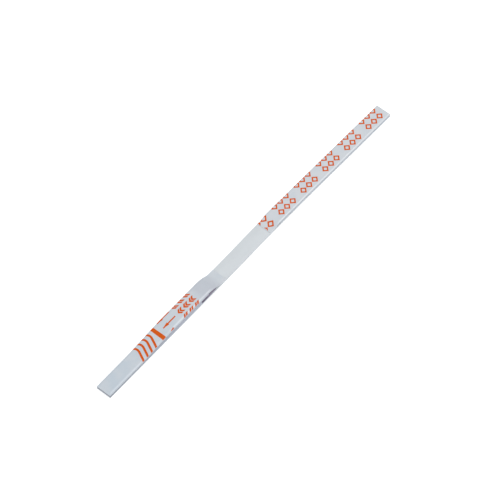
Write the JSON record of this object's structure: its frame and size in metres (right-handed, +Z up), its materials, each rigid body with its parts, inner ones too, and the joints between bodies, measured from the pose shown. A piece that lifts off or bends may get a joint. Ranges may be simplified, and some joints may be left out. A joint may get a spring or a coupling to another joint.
{
  "type": "lateral flow test strip",
  "caption": "Bare lateral flow test strip: porous pads and a membrane laid along a narrow backing card, under printed cover tapes, resting slightly bowed.",
  "frame": {"origin": "under the middle of the strip's length and width, on the surface that it rests on", "axes": "+X along the strip from the sample end to the handle end, +Y across it, +Z up out of the printed face"},
  "size_m": [0.1, 0.004, 0.0026],
  "materials": {
    "backing_plastic": "smooth satin white sheet with cut edges",
    "membrane": "fine matt porous film, slightly warm white",
    "dyed_pad": "matt glass-fibre fleece, dried purple dye",
    "white_pad": "matt white fleece with cut fibrous edges",
    "wick_pad": "matt white blotting paper with cut fibrous edges",
    "tape": "satin white film with a soft sheen",
    "orange_ink": "flat printed ink, slightly uneven"
  },
  "bodies": {
    "root": {"backing_card": "backing_plastic", "membrane": "membrane", "conjugate_pad": "dyed_pad", "buffer_pad": "white_pad", "sample_pad": "white_pad", "absorbent_pad": "wick_pad", "sample_tape": "tape", "handle_tape": "tape", "printed_waves": "orange_ink", "printed_limit_bar": "orange_ink", "printed_arrows": "orange_ink", "printed_block": "orange_ink", "printed_diamonds": "orange_ink"}
  },
  "joints": []
}
